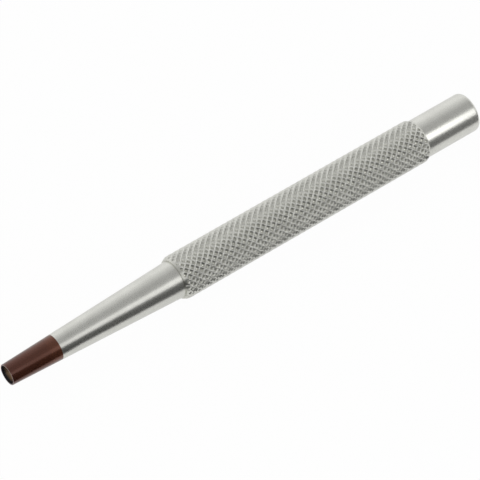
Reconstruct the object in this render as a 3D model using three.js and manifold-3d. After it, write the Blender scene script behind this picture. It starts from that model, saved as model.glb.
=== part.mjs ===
// Spoke head punch: a cupped tip that goes over the head of a wheel spoke, a tapered shank,
// a knurled grip and a plain end to strike with a hammer. Millimetres, +Z up. Its axis is the
// X axis, with the tip at -X and the head at +X, and the origin is in the middle of the grip,
// where the fingers hold it.
import * as THREE from "three";
import { mergeVertices } from "three/addons/utils/BufferGeometryUtils.js";
import Module from "manifold-3d";

// Outside sizes, from tip to head
const TIP_LENGTH = 11.8;
const TIP_END_DIAMETER = 4.7;
const SHANK_LENGTH = 29.8;
const SHANK_BASE_DIAMETER = 8.3;
const GRIP_LENGTH = 64.4;
const GRIP_DIAMETER = 9.9;
const GRIP_CHAMFER_LENGTH = 0.9;
const GRIP_CHAMFER_DEPTH = 0.45;
const HEAD_LENGTH = 14;
const HEAD_DIAMETER = 8.9;
const HEAD_EDGE_RADIUS = 0.9;

// The cup in the tip, round-bottomed, inside a thin flat rim
const CUP_RIM_WIDTH = 0.3;
const CUP_DEPTH = 2;

// The knurl: ridges of both hands at 45 degrees, with a four-sided pit between them
const KNURL_PITCH = 1.52;
const KNURL_DEPTH = 0.4;

// What joins the pieces: a spigot behind the tip seats in the shank, and a peg on the shank and one on
// the head seat in the ends of the grip
const SPIGOT_DIAMETER = 2.5;
const SPIGOT_LENGTH = 6;
const PEG_DIAMETER = 5;
const SHANK_PEG_LENGTH = 12;
const HEAD_PEG_LENGTH = 8;
const PEG_CHAMFER = 0.4;
const FIT_CLEARANCE = 0.03;
const SOCKET_END_CLEARANCE = 0.3;

// Faces round each turned piece, and in its curved edges
const SIDES = 64;
const CURVE_STEPS = 8;

// Places along the axis, from the tip's rim
const SHANK_START = TIP_LENGTH;
const GRIP_START = SHANK_START + SHANK_LENGTH;
const HEAD_START = GRIP_START + GRIP_LENGTH;
const GRIP_MIDDLE = GRIP_START + GRIP_LENGTH / 2;

// Radii that follow from the sizes above: tip and shank share one straight taper
const TIP_END_RADIUS = TIP_END_DIAMETER / 2;
const SHANK_BASE_RADIUS = SHANK_BASE_DIAMETER / 2;
const SHANK_NOSE_RADIUS = THREE.MathUtils.mapLinear(
  SHANK_START, 0, GRIP_START, TIP_END_RADIUS, SHANK_BASE_RADIUS,
);
const CUP_RADIUS = TIP_END_RADIUS - CUP_RIM_WIDTH;
const GRIP_RADIUS = GRIP_DIAMETER / 2;
const HEAD_RADIUS = HEAD_DIAMETER / 2;
const SPIGOT_RADIUS = SPIGOT_DIAMETER / 2;
const PEG_RADIUS = PEG_DIAMETER / 2;

// The knurl closes on itself, so it has a whole number of starts, and a crest every half start
const KNURL_STARTS = Math.round((Math.PI * GRIP_DIAMETER) / KNURL_PITCH);
const KNURL_COLUMNS = 2 * KNURL_STARTS;
const KNURL_ROW = KNURL_PITCH / 2;
const KNURL_ROWS = Math.ceil(GRIP_LENGTH / KNURL_ROW);

const wasm = await Module();
wasm.setup();

const point = (radius, along) => new THREE.Vector2(radius, along);

// A solid of revolution about the Y axis, from an outline that starts and ends on that axis
function turned(outline) {
  return new THREE.LatheGeometry(outline, SIDES);
}

// Points of a quarter ellipse about (radius, along), between two angles counted from the radial way out
function quarterArc(radius, along, halfWidth, halfHeight, from, to) {
  const curve = new THREE.EllipseCurve(radius, along, halfWidth, halfHeight, from, to, from > to);
  return curve.getPoints(CURVE_STEPS);
}

// A peg that ends at a height on the axis with its edge broken, from its side in to the axis. It points
// up the axis, or down it where way is -1.
function pegEnd(radius, end, way) {
  return [point(radius, end - way * PEG_CHAMFER), point(radius - PEG_CHAMFER, end), point(0, end)];
}

// A blind socket for such a peg, from the axis at its bottom out to its mouth
function socket(pegRadius, pegLength, mouth, way) {
  const radius = pegRadius + FIT_CLEARANCE;
  const bottom = mouth + way * (pegLength + SOCKET_END_CLEARANCE);
  return [point(0, bottom), point(radius, bottom), point(radius, mouth)];
}

function toSolid(geometry) {
  const bare = geometry.clone().deleteAttribute("normal").deleteAttribute("uv");
  const merged = mergeVertices(bare);
  const mesh = new wasm.Mesh({
    numProp: 3,
    vertProperties: merged.attributes.position.array,
    triVerts: new Uint32Array(merged.index.array),
  });
  return new wasm.Manifold(mesh);
}

function toGeometry(solid) {
  const { vertProperties, triVerts } = solid.getMesh();
  return new THREE.BufferGeometry()
    .setAttribute("position", new THREE.BufferAttribute(vertProperties, 3))
    .setIndex(new THREE.BufferAttribute(triVerts, 1));
}

// Brown tip: the cup, the rim, the taper and the spigot that seats in the shank
function cupTip() {
  const cup = quarterArc(0, 0, CUP_RADIUS, CUP_DEPTH, Math.PI / 2, 0);
  return turned([
    ...cup,
    point(TIP_END_RADIUS, 0),
    point(SHANK_NOSE_RADIUS, TIP_LENGTH),
    point(SPIGOT_RADIUS, TIP_LENGTH),
    ...pegEnd(SPIGOT_RADIUS, TIP_LENGTH + SPIGOT_LENGTH, 1),
  ]);
}

// Tapered shank: the cone, with a socket for the tip in its nose and a peg for the grip behind its base
function taperedShank() {
  return turned([
    ...socket(SPIGOT_RADIUS, SPIGOT_LENGTH, 0, 1),
    point(SHANK_NOSE_RADIUS, 0),
    point(SHANK_BASE_RADIUS, SHANK_LENGTH),
    point(PEG_RADIUS, SHANK_LENGTH),
    ...pegEnd(PEG_RADIUS, SHANK_LENGTH + SHANK_PEG_LENGTH, 1),
  ]);
}

// The knurled bar before its ends are cut. Rows run along the axis and columns round it. Crests and
// pits take turns, as on a chess board, and each square is split along its ridge. One row stands
// past each end of the grip, and a flat between two columns faces straight down.
function knurledBar() {
  const positions = [];
  const indices = [];
  for (let row = -1; row <= KNURL_ROWS + 1; row++) {
    for (let column = 0; column < KNURL_COLUMNS; column++) {
      const isPit = (row + column) % 2 !== 0;
      const radius = isPit ? GRIP_RADIUS - KNURL_DEPTH : GRIP_RADIUS;
      const angle = ((column + 0.5) * 2 * Math.PI) / KNURL_COLUMNS;
      positions.push(radius * Math.sin(angle), row * KNURL_ROW, radius * Math.cos(angle));
    }
  }
  const ringCount = KNURL_ROWS + 3;
  for (let ring = 0; ring < ringCount - 1; ring++) {
    for (let column = 0; column < KNURL_COLUMNS; column++) {
      const next = (column + 1) % KNURL_COLUMNS;
      const a = ring * KNURL_COLUMNS + column;
      const b = ring * KNURL_COLUMNS + next;
      const c = a + KNURL_COLUMNS;
      const d = b + KNURL_COLUMNS;
      const firstIsPit = (ring + column) % 2 === 0;
      if (firstIsPit) indices.push(a, b, c, b, d, c);
      else indices.push(a, b, d, a, d, c);
    }
  }
  const bottomCentre = positions.length / 3;
  const topCentre = bottomCentre + 1;
  positions.push(0, -KNURL_ROW, 0, 0, (KNURL_ROWS + 1) * KNURL_ROW, 0);
  const topRing = (ringCount - 1) * KNURL_COLUMNS;
  for (let column = 0; column < KNURL_COLUMNS; column++) {
    const next = (column + 1) % KNURL_COLUMNS;
    indices.push(bottomCentre, next, column);
    indices.push(topCentre, topRing + column, topRing + next);
  }
  return new THREE.BufferGeometry()
    .setAttribute("position", new THREE.Float32BufferAttribute(positions, 3))
    .setIndex(indices);
}

// Knurled grip: the bar cut to length, with a chamfer and a socket at each end
function knurledGrip() {
  const endRadius = GRIP_RADIUS - GRIP_CHAMFER_DEPTH;
  const clearRadius = GRIP_RADIUS + GRIP_CHAMFER_DEPTH;
  const clearLength = 2 * GRIP_CHAMFER_LENGTH;
  const chamferedEnds = turned([
    ...socket(PEG_RADIUS, SHANK_PEG_LENGTH, 0, 1),
    point(endRadius, 0),
    point(clearRadius, clearLength),
    point(clearRadius, GRIP_LENGTH - clearLength),
    point(endRadius, GRIP_LENGTH),
    ...socket(PEG_RADIUS, HEAD_PEG_LENGTH, GRIP_LENGTH, -1).reverse(),
  ]);
  return toGeometry(toSolid(knurledBar()).intersect(toSolid(chamferedEnds)));
}

// Striking head: a peg for the grip, and a rounded edge at the end that is struck
function strikingHead() {
  const roundedEdge = quarterArc(
    HEAD_RADIUS - HEAD_EDGE_RADIUS, HEAD_LENGTH - HEAD_EDGE_RADIUS,
    HEAD_EDGE_RADIUS, HEAD_EDGE_RADIUS, 0, Math.PI / 2,
  );
  return turned([
    ...pegEnd(PEG_RADIUS, -HEAD_PEG_LENGTH, -1).reverse(),
    point(PEG_RADIUS, 0),
    point(HEAD_RADIUS, 0),
    ...roundedEdge,
    point(0, HEAD_LENGTH),
  ]);
}

const temperedSteel = new THREE.MeshStandardMaterial({ color: "#4d3229", metalness: 0.6, roughness: 0.4 });
const satinSteel = new THREE.MeshStandardMaterial({ color: "#b4b5ae", metalness: 1, roughness: 0.35 });
const knurledSteel = new THREE.MeshStandardMaterial({ color: "#a9aaa3", metalness: 1, roughness: 0.4 });
const polishedSteel = new THREE.MeshStandardMaterial({ color: "#c4c5bf", metalness: 1, roughness: 0.22 });

function piece(name, geometry, material, along) {
  const mesh = new THREE.Mesh(geometry, material);
  mesh.name = name;
  mesh.position.y = along;
  return mesh;
}

// The pieces stand along Y, tip down, and the group lays them along X
const punch = new THREE.Group();
punch.add(
  piece("cup_tip", cupTip(), temperedSteel, 0),
  piece("tapered_shank", taperedShank(), satinSteel, SHANK_START),
  piece("knurled_grip", knurledGrip(), knurledSteel, GRIP_START),
  piece("striking_head", strikingHead(), polishedSteel, HEAD_START),
);
punch.rotation.z = -Math.PI / 2;
punch.position.x = -GRIP_MIDDLE;

const part = new THREE.Group();
part.add(punch);

export default part;
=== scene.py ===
# Looks of a spoke head punch: a brown tempered cup tip, a satin shank, a knurled grip and a bright head.
# Its axis is the X axis, with the tip at -X, and it lies on its grip. Metres, +Z up.
import math

import bmesh
import bpy
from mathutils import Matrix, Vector


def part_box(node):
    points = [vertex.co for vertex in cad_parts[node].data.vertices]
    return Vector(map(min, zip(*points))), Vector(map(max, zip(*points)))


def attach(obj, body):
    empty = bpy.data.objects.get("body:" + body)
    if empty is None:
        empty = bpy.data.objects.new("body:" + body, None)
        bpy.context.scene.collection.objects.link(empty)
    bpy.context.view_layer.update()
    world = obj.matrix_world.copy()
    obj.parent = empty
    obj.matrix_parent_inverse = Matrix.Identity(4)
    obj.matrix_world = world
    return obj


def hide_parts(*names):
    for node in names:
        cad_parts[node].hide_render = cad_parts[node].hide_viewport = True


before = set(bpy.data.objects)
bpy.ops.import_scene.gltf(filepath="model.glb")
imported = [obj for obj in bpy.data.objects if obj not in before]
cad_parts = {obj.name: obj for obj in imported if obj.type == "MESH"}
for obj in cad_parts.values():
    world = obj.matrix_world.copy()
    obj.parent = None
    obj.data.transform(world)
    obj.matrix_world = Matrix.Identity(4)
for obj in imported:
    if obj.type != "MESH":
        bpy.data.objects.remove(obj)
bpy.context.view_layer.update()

MM = 0.001

# Where each piece begins and ends along X, and its radius, from the solids
TIP_LOW, TIP_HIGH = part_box("cup_tip")
SHANK_LOW, SHANK_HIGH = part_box("tapered_shank")
GRIP_LOW, GRIP_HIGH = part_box("knurled_grip")
HEAD_LOW, HEAD_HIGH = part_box("striking_head")
RIM_X = TIP_LOW.x
BORDER_X = SHANK_LOW.x
SHOULDER_X = GRIP_LOW.x
STEP_X = GRIP_HIGH.x
FACE_X = HEAD_HIGH.x
SPIGOT_END_X = TIP_HIGH.x
SHANK_PEG_END_X = SHANK_HIGH.x
HEAD_PEG_END_X = HEAD_LOW.x
AXIS_Z = (HEAD_LOW.z + HEAD_HIGH.z) / 2
FLOOR_Z = GRIP_LOW.z
BORDER_RADIUS = (TIP_HIGH.y - TIP_LOW.y) / 2
SHOULDER_RADIUS = (SHANK_HIGH.y - SHANK_LOW.y) / 2
GRIP_RADIUS = (GRIP_HIGH.y - GRIP_LOW.y) / 2
HEAD_RADIUS = (HEAD_HIGH.y - HEAD_LOW.y) / 2

# Tip and shank share one straight taper
TAPER = (SHOULDER_RADIUS - BORDER_RADIUS) / (SHOULDER_X - BORDER_X)
RIM_RADIUS = BORDER_RADIUS - TAPER * (BORDER_X - RIM_X)

# The cup in the tip
CUP_RIM_WIDTH = 0.3 * MM
CUP_RADIUS = RIM_RADIUS - CUP_RIM_WIDTH
CUP_DEPTH = 2.0 * MM
CUP_STEPS = 10
RIM_EDGE = 0.06 * MM

# The pegs and sockets that join the pieces
SPIGOT_RADIUS = 1.25 * MM
PEG_RADIUS = 2.5 * MM
PEG_CHAMFER = 0.4 * MM
FIT_CLEARANCE = 0.03 * MM
SOCKET_END_CLEARANCE = 0.3 * MM

# The knurl: ridges of both hands round four-sided pits. The second roll left its ridges lower between the
# crossings. Each step into a pit has a width and a drop. The sheet of pits is longer than the grip, and
# its ends are drawn out by the overrun, before it is cut to length.
KNURL_PITCH = 1.52 * MM
KNURL_STARTS = round(2 * math.pi * GRIP_RADIUS / KNURL_PITCH)
KNURL_SPACING = 2 * math.pi * GRIP_RADIUS / KNURL_STARTS
KNURL_TILES = math.ceil((STEP_X - SHOULDER_X) / KNURL_PITCH) + 2
KNURL_OVERRUN = 3 * KNURL_PITCH
KNURL_SADDLE = 0.07 * MM
PIT_STEPS = (
    (0.03 * MM, 0.01 * MM), (0.12 * MM, 0.08 * MM), (0.16 * MM, 0.15 * MM), (0.12 * MM, 0.16 * MM))
PIT_DEPTH = sum(drop for width, drop in PIT_STEPS)
KNURL_WANDER = 0.012 * MM
KNURL_SEED = 7
GRIP_CHAMFER_LENGTH = 0.9 * MM
GRIP_CHAMFER_DEPTH = 0.45 * MM

# The head
HEAD_EDGE_RADIUS = 0.9 * MM

# How finely round forms are divided, and up to which angle between faces they look smooth
ROUND_SIDES = 128
EDGE_SEGMENTS = 4
SMOOTH_ANGLE = math.radians(30)
KNURL_SMOOTH_ANGLE = math.radians(40)

# Points this close count as one, and faces whose normal lies this much along the axis count as ends
CLOSE = 0.001 * MM
END_NORMAL = 0.99

# The tempered tip. Its colours run from the rim to the shank, and the cup's from its mouth to its bottom.
# The grain is drawn coarser than the real one, to show.
TEMPER_COLOURS = ((0.0, "#522C24"), (0.25, "#572C1C"), (0.9, "#592D1A"), (1.0, "#623520"))
TEMPER_CLOUD = 1.2 * MM
TEMPER_CLOUD_SHARE = 0.3
CLOUD_DETAIL = 3.0
TEMPER_GRAIN = 0.12 * MM
TEMPER_GRAIN_HEIGHT = 0.002 * MM
TEMPER_DETAIL = 2.0
TEMPER_BUMP = 0.5
TEMPER_METALLIC = 0.7
TEMPER_ROUGHNESS = (0.22, 0.34)
OIL_WEIGHT = 0.6
OIL_ROUGHNESS = 0.18
CUP_COLOURS = ((0.0, "#24262E"), (0.2, "#2A282A"), (0.5, "#7A6046"), (1.0, "#6A5440"))
CUP_METALLIC = 0.6
CUP_ROUGHNESS = (0.35, 0.5)

# The plating. Its grain is drawn coarser than the real one too.
PLATING_CLOUD = 3.0 * MM
PLATING_TONE_STOPS = (0.25, 0.75)
PLATING_GRAIN_RANGE = (0.3, 0.7)
PLATING_BUMP = 0.6
PLATING_DETAIL = 3.0
SHANK_TONES = ("#D1D1CB", "#DBDBD5")
SHANK_ROUGHNESS = (0.26, 0.31)
SHANK_GRAIN = 0.15 * MM
# The knurl is a little darker than the shank, and darker in its pits than on its crests: painted shade for
# the pits, with wear on the crests
KNURL_PIT_SHADE_AND_WEAR_TONES = ("#CECEC7", "#D7D7D1")
KNURL_ROUGHNESS = (0.26, 0.34)
KNURL_GRAIN = 0.2 * MM
KNURL_GRAIN_HEIGHT = 0.002 * MM
HEAD_TONES = ("#D3D3CD", "#DDDDD7")
HEAD_ROUGHNESS = (0.25, 0.3)
HEAD_GRAIN = 0.2 * MM
SMOOTH_GRAIN_HEIGHT = 0.0006 * MM

# The camera: where it looks from, its lens, and where it sees the middle of the tip's rim
CAMERA_AZIMUTH = math.radians(-37.23)
CAMERA_ELEVATION = math.radians(48.91)
CAMERA_LENS = 254.2
CAMERA_SENSOR = 36.0
CAMERA_NEAREST = 10 * MM
TIP_SEEN_LEFT = 46.676 * MM
TIP_SEEN_BELOW = 27.046 * MM
TIP_SEEN_AHEAD = 679.339 * MM

# The studio. Angles go round the punch's axis, from level in front of it, up and over to the back. A
# pair of glows runs from one side of a card to the other.
WHITE = (1, 1, 1, 1)
FLOOR_SIZE = 3.0
FLOOR_COLOUR = "#F2F2F0"
FLOOR_GLOW = 0.97
FLOOR_GLOW_IN_METAL = 0.7
CARD_REACH = 0.6
CARD_ENDS_X = (-0.6, 1.5)
STRIP_ANGLES = (math.radians(12), math.radians(54))
STRIP_ENDS_X = (0.0, 0.4)
STRIP_GLOW = (0.45, 2.6)
CEILING_ANGLES = (math.radians(55), math.radians(95))
CEILING_GLOW = 0.48
SLOPE_ANGLES = (CEILING_ANGLES[1], math.radians(150))
SLOPE_GLOW = (CEILING_GLOW, 1.0)
FLAG_NEAR = 14 * MM
FLAG_NEAR_ENDS_X = (-0.12, 0.15)
FLAG_REACH = 0.4
FLAG_ENDS_X = (-0.05, 0.4)
FLAG_TOP_ANGLES = (math.radians(31), math.radians(14))
FLAG_GLOW = (0.0, 0.5)
# A dark card on the floor in front of the tip, which only the metal sees: painted shadow of the floor,
# mirrored in the tip
PAINTED_TIP_SHADOW_ENDS_X = (-0.085, -0.056)
PAINTED_TIP_SHADOW_NEAR = (3 * MM, 11.5 * MM)
PAINTED_TIP_SHADOW_FAR = 40 * MM
PAINTED_TIP_SHADOW_HEIGHT = 0.1 * MM
PAINTED_TIP_SHADOW_GLOW = 0.0


def off_axis(place):
    """How far a point lies from the punch's axis."""
    return math.hypot(place.y, place.z - AXIS_Z)


def linear(hex_colour):
    """An sRGB hex colour as the linear values that shaders take."""
    shares = [int(hex_colour[place:place + 2], 16) / 255 for place in (1, 3, 5)]
    values = [share / 12.92 if share <= 0.04045 else ((share + 0.055) / 1.055) ** 2.4 for share in shares]
    return (*values, 1.0)


def add_node(tree, kind, inputs=None, stops=None, **settings):
    """A new node with its settings, colour stops, input values and links from other nodes' outputs."""
    made = tree.nodes.new("ShaderNode" + kind)
    for name, value in settings.items():
        setattr(made, name, value)
    for index, (place, hex_colour) in enumerate(stops or ()):
        stop = made.color_ramp.elements[index] if index < 2 else made.color_ramp.elements.new(place)
        stop.position = place
        stop.color = linear(hex_colour)
    for name, value in (inputs or {}).items():
        if isinstance(value, bpy.types.NodeSocket):
            tree.links.new(value, made.inputs[name])
        else:
            made.inputs[name].default_value = value
    return made


def new_material(name):
    """A material with no nodes yet."""
    material = bpy.data.materials.new(name)
    material.use_nodes = True
    material.node_tree.nodes.clear()
    return material


# Materials

def tempered_steel():
    """Bare tool steel let down in a flame: a cloudy brown oxide, a little warmer towards the cold shank.
    A thin film of oil over it gives the half gloss."""
    material = new_material("tempered_brown_steel")
    tree = material.node_tree
    place = add_node(tree, "TexCoord").outputs["Object"]
    along = add_node(tree, "SeparateXYZ", {"Vector": place}).outputs["X"]
    share = add_node(tree, "MapRange", {"Value": along, "From Min": RIM_X, "From Max": BORDER_X})
    cloud = add_node(tree, "TexNoise", {
        "Vector": place, "Scale": 1 / TEMPER_CLOUD, "Detail": CLOUD_DETAIL})
    wander = add_node(tree, "Math", {
        0: cloud.outputs["Fac"], 1: TEMPER_CLOUD_SHARE, 2: share.outputs["Result"]},
        operation="MULTIPLY_ADD")
    colour = add_node(tree, "ValToRGB", {"Fac": wander.outputs["Value"]}, stops=TEMPER_COLOURS)
    grain = add_node(tree, "TexNoise", {
        "Vector": place, "Scale": 1 / TEMPER_GRAIN, "Detail": TEMPER_DETAIL})
    rough = add_node(tree, "MapRange", {
        "Value": grain.outputs["Fac"], "To Min": TEMPER_ROUGHNESS[0], "To Max": TEMPER_ROUGHNESS[1]})
    bump = add_node(tree, "Bump", {
        "Height": grain.outputs["Fac"], "Strength": TEMPER_BUMP, "Distance": TEMPER_GRAIN_HEIGHT})
    shader = add_node(tree, "BsdfPrincipled", {
        "Base Color": colour.outputs["Color"], "Metallic": TEMPER_METALLIC,
        "Roughness": rough.outputs["Result"], "Normal": bump.outputs["Normal"],
        "Coat Weight": OIL_WEIGHT, "Coat Roughness": OIL_ROUGHNESS})
    add_node(tree, "OutputMaterial", {"Surface": shader.outputs["BSDF"]})
    return material


def dark_mouthed_cup_material():
    """Steel that is blue-black inside the cup's mouth, straw brown deeper in it, and dull all over."""
    material = new_material("cup_steel_dark_at_mouth")
    tree = material.node_tree
    place = add_node(tree, "TexCoord").outputs["Object"]
    along = add_node(tree, "SeparateXYZ", {"Vector": place}).outputs["X"]
    share = add_node(tree, "MapRange", {"Value": along, "From Min": RIM_X, "From Max": RIM_X + CUP_DEPTH})
    colour = add_node(tree, "ValToRGB", {"Fac": share.outputs["Result"]}, stops=CUP_COLOURS)
    grain = add_node(tree, "TexNoise", {
        "Vector": place, "Scale": 1 / TEMPER_GRAIN, "Detail": TEMPER_DETAIL})
    rough = add_node(tree, "MapRange", {
        "Value": grain.outputs["Fac"], "To Min": CUP_ROUGHNESS[0], "To Max": CUP_ROUGHNESS[1]})
    shader = add_node(tree, "BsdfPrincipled", {
        "Base Color": colour.outputs["Color"], "Metallic": CUP_METALLIC,
        "Roughness": rough.outputs["Result"]})
    add_node(tree, "OutputMaterial", {"Surface": shader.outputs["BSDF"]})
    return material


def height_in_knurl(tree, place):
    """How high a point lies in the knurl, from 0 at the bottom of a pit to 1 on a crest."""
    across = add_node(tree, "VectorMath", {
        0: place, 1: (0, 1, 1), 2: (0, 0, -AXIS_Z)}, operation="MULTIPLY_ADD")
    radius = add_node(tree, "VectorMath", {0: across.outputs["Vector"]}, operation="LENGTH")
    height = add_node(tree, "MapRange", {
        "Value": radius.outputs["Value"], "From Min": GRIP_RADIUS - PIT_DEPTH, "From Max": GRIP_RADIUS})
    return height.outputs["Result"]


def plated_steel(name, tones, roughness, grain_size, grain_height, is_knurled=False):
    """Ground steel under matt nickel: neutral grey metal with a fine grain that softens its reflections.
    Its tone wanders a little on the smooth pieces. On the knurl it is darker in the pits, as painted
    shade, and lighter on the crests, which hands have rubbed."""
    material = new_material(name)
    tree = material.node_tree
    place = add_node(tree, "TexCoord").outputs["Object"]
    if is_knurled:
        # On the knurl the colour follows height: the darker pits are painted shade, the lighter crests are
        # wear
        tone = height_in_knurl(tree, place)
    else:
        cloud = add_node(tree, "TexNoise", {
            "Vector": place, "Scale": 1 / PLATING_CLOUD, "Detail": CLOUD_DETAIL})
        tone = cloud.outputs["Fac"]
    colour = add_node(tree, "ValToRGB", {"Fac": tone}, stops=zip(PLATING_TONE_STOPS, tones))
    grain = add_node(tree, "TexNoise", {
        "Vector": place, "Scale": 1 / grain_size, "Detail": PLATING_DETAIL})
    rough = add_node(tree, "MapRange", {
        "Value": grain.outputs["Fac"],
        "From Min": PLATING_GRAIN_RANGE[0], "From Max": PLATING_GRAIN_RANGE[1],
        "To Min": roughness[0], "To Max": roughness[1]})
    bump = add_node(tree, "Bump", {
        "Height": grain.outputs["Fac"], "Strength": PLATING_BUMP, "Distance": grain_height})
    shader = add_node(tree, "BsdfPrincipled", {
        "Base Color": colour.outputs["Color"], "Metallic": 1.0, "Roughness": rough.outputs["Result"],
        "Normal": bump.outputs["Normal"]})
    add_node(tree, "OutputMaterial", {"Surface": shader.outputs["BSDF"]})
    return material


# Modelling by hand

def select_only(kind, wanted):
    """In edit mode, selects the faces, edges or vertices that are wanted, and nothing else."""
    bpy.ops.mesh.select_mode(type=kind)
    bpy.ops.mesh.select_all(action="DESELECT")
    mesh = bmesh.from_edit_mesh(bpy.context.edit_object.data)
    for element in {"FACE": mesh.faces, "EDGE": mesh.edges, "VERT": mesh.verts}[kind]:
        if wanted(element):
            element.select_set(True)
    bmesh.update_edit_mesh(bpy.context.edit_object.data)


def faces_front(face):
    return face.normal.x < -END_NORMAL


def faces_rear(face):
    return face.normal.x > END_NORMAL


def lies_at(x):
    """A test for edges that lie across the axis at x."""
    return lambda edge: all(abs(vert.co.x - x) < CLOSE for vert in edge.verts)


def start_turned(name, front_x, front_radius, rear_x, rear_radius):
    """A round blank along the axis, left in edit mode."""
    bpy.ops.object.select_all(action="DESELECT")
    bpy.ops.mesh.primitive_cone_add(
        vertices=ROUND_SIDES, radius1=front_radius, radius2=rear_radius, depth=rear_x - front_x,
        location=((front_x + rear_x) / 2, 0, AXIS_Z), rotation=(0, math.pi / 2, 0))
    bpy.ops.object.transform_apply(location=True, rotation=True, scale=True)
    piece = bpy.context.active_object
    piece.name = name
    piece.data.name = name
    bpy.ops.object.mode_set(mode="EDIT")
    return piece


def push(distance):
    """Extrudes what is selected along the axis."""
    bpy.ops.mesh.extrude_region_move(TRANSFORM_OT_translate={"value": (distance, 0, 0)})


def narrow(share, at_x):
    """Scales what is selected about the axis."""
    bpy.ops.transform.resize(value=(1, share, share), center_override=(at_x, 0, AXIS_Z))


def break_edge(peg_end_x):
    """Chamfers the edge at the end of a peg."""
    select_only("EDGE", lies_at(peg_end_x))
    bpy.ops.mesh.bevel(offset=PEG_CHAMFER, segments=1, affect="EDGES")


def end_turned():
    """Merges doubles, turns the faces outwards, leaves edit mode and shades the round faces smooth."""
    bpy.ops.mesh.select_all(action="SELECT")
    bpy.ops.mesh.remove_doubles(threshold=CLOSE)
    bpy.ops.mesh.normals_make_consistent(inside=False)
    bpy.ops.object.mode_set(mode="OBJECT")
    bpy.ops.object.shade_smooth_by_angle(angle=SMOOTH_ANGLE)


def give_slot(piece, node):
    """Lets a piece stand for its solid: attaches it to the root body and hides the solid."""
    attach(piece, "root")
    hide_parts(node)


# The tip

def hollow_cup():
    """Sinks the selected disc into the tip in steps, as half an ellipse with a small flat bottom."""
    depth = 0.0
    radius = CUP_RADIUS
    for step in range(1, CUP_STEPS):
        turn = math.pi / 2 * step / CUP_STEPS
        next_depth = CUP_DEPTH * math.sin(turn)
        next_radius = CUP_RADIUS * math.cos(turn)
        push(next_depth - depth)
        narrow(next_radius / radius, RIM_X + next_depth)
        depth = next_depth
        radius = next_radius
    bpy.ops.mesh.poke()


def rounds_rim(edge):
    """Whether an edge belongs to the outer or the inner circle of the cup's rim."""
    radii = [off_axis(vert.co) for vert in edge.verts]
    return lies_at(RIM_X)(edge) and min(radii) > CUP_RADIUS - CLOSE and abs(radii[0] - radii[1]) < CLOSE


def lines_cup(face):
    """Whether a face lies in the cup, up to the middle of its rounded edge."""
    middle = face.calc_center_median()
    return middle.x < RIM_X + CUP_DEPTH + CLOSE and off_axis(middle) < CUP_RADIUS + RIM_EDGE / 2


def make_cup_tip():
    piece = start_turned("punch_cup_tip", RIM_X, RIM_RADIUS, BORDER_X, BORDER_RADIUS)
    finishes = piece.data.materials
    finishes.append(tempered_steel())
    finishes.append(dark_mouthed_cup_material())
    select_only("FACE", faces_front)
    bpy.ops.mesh.inset(thickness=CUP_RIM_WIDTH)
    hollow_cup()
    select_only("FACE", lambda face: faces_rear(face) and off_axis(face.calc_center_median()) < CLOSE)
    bpy.ops.mesh.inset(thickness=BORDER_RADIUS - SPIGOT_RADIUS)
    push(SPIGOT_END_X - BORDER_X)
    break_edge(SPIGOT_END_X)
    select_only("EDGE", rounds_rim)
    bpy.ops.mesh.bevel(offset=RIM_EDGE, segments=EDGE_SEGMENTS, affect="EDGES")
    select_only("FACE", lines_cup)
    piece.active_material_index = len(finishes) - 1
    bpy.ops.object.material_slot_assign()
    end_turned()
    give_slot(piece, "cup_tip")


# The shank

def make_tapered_shank():
    piece = start_turned("punch_tapered_shank", BORDER_X, BORDER_RADIUS, SHOULDER_X, SHOULDER_RADIUS)
    piece.data.materials.append(plated_steel(
        "satin_nickel_shank", SHANK_TONES, SHANK_ROUGHNESS, SHANK_GRAIN, SMOOTH_GRAIN_HEIGHT))
    select_only("FACE", faces_front)
    bpy.ops.mesh.inset(thickness=BORDER_RADIUS - SPIGOT_RADIUS - FIT_CLEARANCE)
    push(SPIGOT_END_X - BORDER_X + SOCKET_END_CLEARANCE)
    select_only("FACE", faces_rear)
    bpy.ops.mesh.inset(thickness=SHOULDER_RADIUS - PEG_RADIUS)
    push(SHANK_PEG_END_X - SHOULDER_X)
    break_edge(SHANK_PEG_END_X)
    end_turned()
    give_slot(piece, "tapered_shank")


# The grip

def is_second_hand(edge):
    """Whether an edge round the flat pit belongs to a ridge of the second roll."""
    one, other = [vert.co for vert in edge.verts]
    return one.x * other.z + other.x * one.z > 0


def make_flat_pits():
    """Two pits of the knurl, laid flat with the outside towards -Y. The second lies half a step on, both
    along the grip and round it."""
    bpy.ops.object.select_all(action="DESELECT")
    bpy.ops.mesh.primitive_circle_add(
        vertices=4, radius=0.5, fill_type="NGON", rotation=(math.pi / 2, 0, 0))
    piece = bpy.context.active_object
    piece.name = "punch_knurled_grip"
    piece.data.name = "punch_knurled_grip"
    piece.scale = (KNURL_PITCH, KNURL_SPACING, 1)
    bpy.ops.object.transform_apply(location=True, rotation=True, scale=True)
    bpy.ops.object.mode_set(mode="EDIT")
    select_only("EDGE", is_second_hand)
    bpy.ops.mesh.subdivide(number_cuts=1)
    select_only("VERT", lambda vert: abs(vert.co.x * vert.co.z) > CLOSE * CLOSE)
    bpy.ops.transform.translate(value=(0, KNURL_SADDLE, 0))
    select_only("FACE", lambda face: True)
    for width, drop in PIT_STEPS:
        bpy.ops.mesh.inset(thickness=width, depth=-drop)
    bpy.ops.mesh.select_all(action="SELECT")
    bpy.ops.mesh.duplicate_move(TRANSFORM_OT_translate={"value": (KNURL_PITCH / 2, 0, KNURL_SPACING / 2)})
    bpy.ops.object.mode_set(mode="OBJECT")
    return piece


def lay_copies(piece, step, count):
    """Repeats a piece in a row, with its edges merged."""
    copies = piece.modifiers.new("copies", "ARRAY")
    copies.use_relative_offset = False
    copies.use_constant_offset = True
    copies.constant_offset_displace = step
    copies.count = count
    copies.use_merge_vertices = True
    copies.merge_threshold = CLOSE
    bpy.ops.object.modifier_apply(modifier=copies.name)


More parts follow.
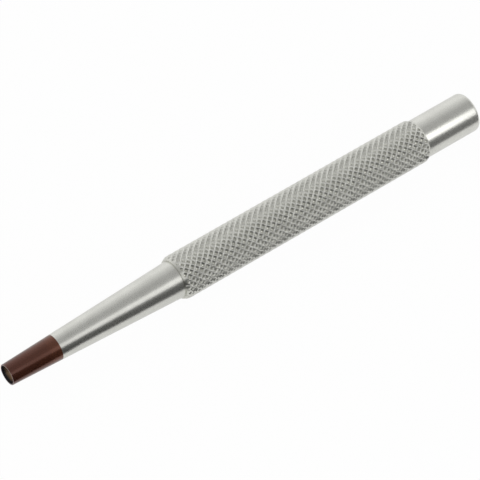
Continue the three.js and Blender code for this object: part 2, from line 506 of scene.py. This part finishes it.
def roll_sheet(piece):
    """Brings the sheet's middle to the middle of the grip and rolls it round the axis, where its ragged
    sides mesh. It is left in edit mode."""
    bpy.ops.object.mode_set(mode="EDIT")
    bpy.ops.mesh.select_all(action="SELECT")
    to_middle = (SHOULDER_X + STEP_X) / 2 - (KNURL_TILES - 0.5) * KNURL_PITCH / 2
    bpy.ops.transform.translate(value=(to_middle, 0, -(KNURL_STARTS - 0.5) * KNURL_SPACING / 2))
    bpy.ops.object.mode_set(mode="OBJECT")
    roll = piece.modifiers.new("roll", "SIMPLE_DEFORM")
    roll.deform_method = "BEND"
    roll.deform_axis = "X"
    roll.angle = 2 * math.pi * (KNURL_STARTS + 0.5) / KNURL_STARTS
    bpy.ops.object.modifier_apply(modifier=roll.name)
    bpy.ops.object.mode_set(mode="EDIT")
    bpy.ops.mesh.select_all(action="SELECT")
    bpy.ops.transform.translate(value=(0, -GRIP_RADIUS, AXIS_Z))
    bpy.ops.mesh.remove_doubles(threshold=CLOSE)
    bpy.ops.transform.vertex_random(offset=KNURL_WANDER, seed=KNURL_SEED)


def close_ends():
    """Draws the ragged ends of the rolled sheet out past the grip, flattens them and caps them."""
    for end_x, way in ((SHOULDER_X, -1), (STEP_X, 1)):
        select_only("EDGE", lambda edge: edge.is_boundary and edge.verts[0].co.x * way > end_x * way)
        bpy.ops.mesh.extrude_edges_move(TRANSFORM_OT_translate={"value": (way * KNURL_PITCH, 0, 0)})
        flat_x = end_x + way * KNURL_OVERRUN
        bpy.ops.transform.resize(value=(0, 1, 1), center_override=(flat_x, 0, AXIS_Z))
        bpy.ops.mesh.edge_face_add()
    bpy.ops.mesh.select_all(action="SELECT")
    bpy.ops.mesh.normals_make_consistent(inside=False)
    bpy.ops.object.mode_set(mode="OBJECT")


def make_grip_blank():
    """A turned bar, wider than the knurl, that has the grip's chamfers and sockets at its ends."""
    end_radius = GRIP_RADIUS - GRIP_CHAMFER_DEPTH
    clear_radius = GRIP_RADIUS + GRIP_CHAMFER_DEPTH
    clear_length = 2 * GRIP_CHAMFER_LENGTH
    front_x = SHOULDER_X + clear_length
    rear_x = STEP_X - clear_length
    blank = start_turned("blank", front_x, clear_radius, rear_x, clear_radius)
    ends = ((faces_front, SHOULDER_X, -1, SHANK_PEG_END_X), (faces_rear, STEP_X, 1, HEAD_PEG_END_X))
    for is_end, end_x, way, peg_end_x in ends:
        select_only("FACE", is_end)
        push(way * clear_length)
        narrow(end_radius / clear_radius, end_x)
        bpy.ops.mesh.inset(thickness=end_radius - PEG_RADIUS - FIT_CLEARANCE)
        push(peg_end_x - end_x - way * SOCKET_END_CLEARANCE)
    bpy.ops.object.mode_set(mode="OBJECT")
    return blank


def cut_to(piece, blank):
    """Leaves of a piece what lies in the blank, which is then deleted."""
    bpy.context.view_layer.objects.active = piece
    cut = piece.modifiers.new("cut", "BOOLEAN")
    cut.operation = "INTERSECT"
    cut.object = blank
    bpy.ops.object.modifier_apply(modifier=cut.name)
    bpy.data.objects.remove(blank)
    bpy.ops.object.select_all(action="DESELECT")
    piece.select_set(True)


def make_knurled_grip():
    """Two pits are modelled flat, copied into a sheet, rolled into a bar and cut to length."""
    piece = make_flat_pits()
    lay_copies(piece, (KNURL_PITCH, 0, 0), KNURL_TILES)
    lay_copies(piece, (0, 0, KNURL_SPACING), KNURL_STARTS)
    roll_sheet(piece)
    close_ends()
    cut_to(piece, make_grip_blank())
    piece.data.materials.clear()
    piece.data.materials.append(plated_steel(
        "satin_nickel_knurl", KNURL_PIT_SHADE_AND_WEAR_TONES, KNURL_ROUGHNESS, KNURL_GRAIN, KNURL_GRAIN_HEIGHT,
        is_knurled=True))
    bpy.ops.object.shade_smooth_by_angle(angle=KNURL_SMOOTH_ANGLE)
    give_slot(piece, "knurled_grip")


# The head

def make_striking_head():
    piece = start_turned("punch_striking_head", STEP_X, HEAD_RADIUS, FACE_X, HEAD_RADIUS)
    piece.data.materials.append(plated_steel(
        "bright_nickel_head", HEAD_TONES, HEAD_ROUGHNESS, HEAD_GRAIN, SMOOTH_GRAIN_HEIGHT))
    select_only("EDGE", lies_at(FACE_X))
    bpy.ops.mesh.bevel(offset=HEAD_EDGE_RADIUS, segments=2 * EDGE_SEGMENTS, affect="EDGES")
    select_only("FACE", faces_front)
    bpy.ops.mesh.inset(thickness=HEAD_RADIUS - PEG_RADIUS)
    push(HEAD_PEG_END_X - STEP_X)
    break_edge(HEAD_PEG_END_X)
    end_turned()
    give_slot(piece, "striking_head")


# The studio

def make_camera():
    """Looks down at the punch from the front, on the tip's side, through a long lens."""
    camera = bpy.data.objects.new("camera", bpy.data.cameras.new("camera"))
    bpy.context.scene.collection.objects.link(camera)
    bpy.context.scene.camera = camera
    camera.data.lens = CAMERA_LENS
    camera.data.sensor_width = CAMERA_SENSOR
    camera.data.clip_start = CAMERA_NEAREST
    level = math.cos(CAMERA_ELEVATION)
    ahead = Vector((
        -math.sin(CAMERA_AZIMUTH) * level, math.cos(CAMERA_AZIMUTH) * level, -math.sin(CAMERA_ELEVATION)))
    right = ahead.cross(Vector((0, 0, 1))).normalized()
    up = right.cross(ahead)
    tip = Vector((RIM_X, 0, AXIS_Z))
    camera.location = tip + right * TIP_SEEN_LEFT + up * TIP_SEEN_BELOW - ahead * TIP_SEEN_AHEAD
    camera.rotation_mode = "QUATERNION"
    camera.rotation_quaternion = ahead.to_track_quat("-Z", "Y")


def make_floor():
    """White paper. The eye and the metal see it glow, and a share of it still takes the shadow."""
    bpy.ops.object.select_all(action="DESELECT")
    bpy.ops.mesh.primitive_plane_add(size=FLOOR_SIZE, location=(0, 0, FLOOR_Z))
    floor = bpy.context.active_object
    floor.name = "floor"
    material = new_material("white_paper")
    tree = material.node_tree
    path = add_node(tree, "LightPath")
    seen = add_node(tree, "Math", {0: path.outputs["Is Camera Ray"], 1: FLOOR_GLOW}, operation="MULTIPLY")
    mirrored = add_node(tree, "Math", {
        0: path.outputs["Is Glossy Ray"], 1: path.outputs["Is Transmission Ray"]}, operation="MAXIMUM")
    share = add_node(tree, "Math", {
        0: mirrored.outputs["Value"], 1: FLOOR_GLOW_IN_METAL, 2: seen.outputs["Value"]},
        operation="MULTIPLY_ADD")
    paper = add_node(tree, "BsdfDiffuse", {"Color": linear(FLOOR_COLOUR)})
    glow = add_node(tree, "Emission", {"Color": WHITE, "Strength": 1.0})
    mixed = add_node(tree, "MixShader", {
        "Fac": share.outputs["Value"], 1: paper.outputs["BSDF"], 2: glow.outputs["Emission"]})
    add_node(tree, "OutputMaterial", {"Surface": mixed.outputs["Shader"]})
    floor.data.materials.append(material)


def around(x, angle, reach=CARD_REACH):
    """A place round the axis, at an angle and a distance from it."""
    return Vector((x, -math.cos(angle) * reach, AXIS_Z + math.sin(angle) * reach))


def make_card(name, corners, glow, way="X"):
    """A card in front of, over or behind the punch, which its metal mirrors. A pair of glows runs along
    the punch where way is X, and across it where way is Y."""
    bpy.ops.object.select_all(action="DESELECT")
    bpy.ops.mesh.primitive_plane_add()
    card = bpy.context.active_object
    card.name = name
    for vertex, corner in zip(card.data.vertices, corners):
        vertex.co = corner
    material = new_material(name)
    tree = material.node_tree
    if isinstance(glow, tuple):
        place = add_node(tree, "TexCoord").outputs["Generated"]
        share = add_node(tree, "SeparateXYZ", {"Vector": place}).outputs[way]
        fade = add_node(tree, "MapRange", {"Value": share, "To Min": glow[0], "To Max": glow[1]})
        glow = fade.outputs["Result"]
    light = add_node(tree, "Emission", {"Color": WHITE, "Strength": glow})
    add_node(tree, "OutputMaterial", {"Surface": light.outputs["Emission"]})
    card.data.materials.append(material)
    card.visible_camera = False
    card.visible_shadow = False
    return card


def make_dark_flag_or_shadow(name, corners, glow):
    """A dark card low in front, which the metal mirrors and which doesn't dim the paper: a flag, or
    painted shadow lying on the floor.
    """
    flag = make_card(name, corners, glow)
    flag.visible_diffuse = False


def stage_flag_and_painted_shadow():
    """One flag stands along the punch, and a small dark card lies on the floor by its tip: painted shadow
    of the floor there, which only the metal mirrors.
    """
    near_edge = [Vector((x, -FLAG_NEAR, FLOOR_Z + CLOSE)) for x in FLAG_NEAR_ENDS_X]
    top_edge = [around(x, angle, FLAG_REACH) for x, angle in zip(FLAG_ENDS_X, FLAG_TOP_ANGLES)]
    make_dark_flag_or_shadow("flag", near_edge + top_edge, FLAG_GLOW)
    # The small dark card by the tip is painted shadow on the floor, seen only in the metal
    height = FLOOR_Z + PAINTED_TIP_SHADOW_HEIGHT
    tip_near_edge = [Vector((x, -near, height)) for x, near in zip(PAINTED_TIP_SHADOW_ENDS_X, PAINTED_TIP_SHADOW_NEAR)]
    tip_far_edge = [Vector((x, -PAINTED_TIP_SHADOW_FAR, height)) for x in PAINTED_TIP_SHADOW_ENDS_X]
    make_dark_flag_or_shadow("painted_tip_shadow", tip_near_edge + tip_far_edge, PAINTED_TIP_SHADOW_GLOW)


def make_light():
    """A white room, with a bright strip in front, a grey ceiling and a slope behind it that goes white."""
    world = bpy.data.worlds.new("white_room")
    bpy.context.scene.world = world
    world.use_nodes = True
    tree = world.node_tree
    tree.nodes.clear()
    white = add_node(tree, "Background", {"Color": WHITE, "Strength": 1.0})
    add_node(tree, "OutputWorld", {"Surface": white.outputs["Background"]})
    make_card("strip", [around(x, angle) for angle in STRIP_ANGLES for x in STRIP_ENDS_X], STRIP_GLOW)
    make_card("ceiling", [around(x, angle) for angle in CEILING_ANGLES for x in CARD_ENDS_X], CEILING_GLOW)
    make_card("slope", [around(x, angle) for angle in SLOPE_ANGLES for x in CARD_ENDS_X], SLOPE_GLOW, "Y")


make_camera()
make_floor()
make_light()
stage_flag_and_painted_shadow()
make_cup_tip()
make_tapered_shank()
make_knurled_grip()
make_striking_head()
bpy.context.scene.view_settings.view_transform = "Standard"
